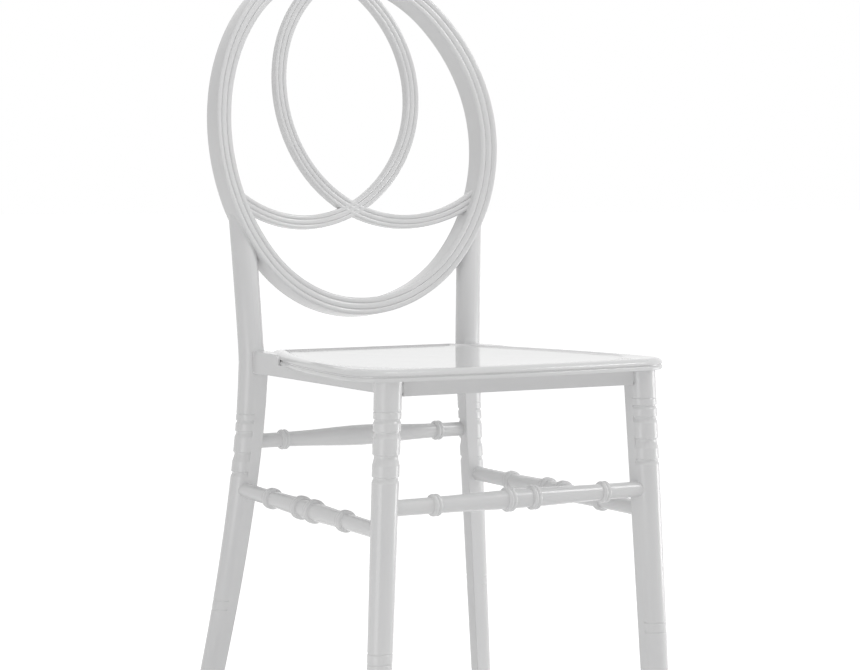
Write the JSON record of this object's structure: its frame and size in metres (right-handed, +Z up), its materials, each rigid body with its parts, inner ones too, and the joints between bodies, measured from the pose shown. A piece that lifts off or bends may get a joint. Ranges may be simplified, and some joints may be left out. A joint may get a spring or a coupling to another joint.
{
  "type": "ring-back side chair",
  "caption": "Side chair with an oval ring back holding two interlaced curves, a hard dished seat, splayed legs with turned bands and turned rungs between them.",
  "frame": {"origin": "on the floor under the middle of the chair's overall box", "axes": "+Z up, -Y is the way the sitter faces, +X to the right seen from the front"},
  "size_m": [0.4222, 0.46, 0.9201],
  "materials": {
    "frame_resin": "glossy white moulded resin",
    "seat_resin": "glossy white moulded resin with a fine moulded grain",
    "rail_resin": "glossy white moulded resin, duller underneath",
    "glide_nylon": "matte milky nylon",
    "zinc_steel": "zinc-plated steel",
    "dowel_resin": "plain moulded resin pegs"
  },
  "bodies": {
    "root": {"front_leg_left": "frame_resin", "front_leg_right": "frame_resin", "rear_leg_left": "frame_resin", "rear_leg_right": "frame_resin", "back_ring": "frame_resin", "back_loop_left": "frame_resin", "back_loop_right": "frame_resin", "front_rung": "frame_resin", "rear_rung": "frame_resin", "side_rung_left": "frame_resin", "side_rung_right": "frame_resin", "seat_plate": "seat_resin", "front_rail": "rail_resin", "rear_rail": "rail_resin", "side_rail_left": "rail_resin", "side_rail_right": "rail_resin", "corner_block_front_left": "rail_resin", "corner_block_front_right": "rail_resin", "corner_block_rear_left": "rail_resin", "corner_block_rear_right": "rail_resin", "foot_glide_front_left": "glide_nylon", "foot_glide_front_right": "glide_nylon", "foot_glide_rear_left": "glide_nylon", "foot_glide_rear_right": "glide_nylon", "loop_pins": "zinc_steel", "seat_screws": "zinc_steel", "corner_bolts": "zinc_steel", "corner_washers": "zinc_steel", "corner_nuts": "zinc_steel", "ring_dowels": "dowel_resin"}
  },
  "joints": []
}
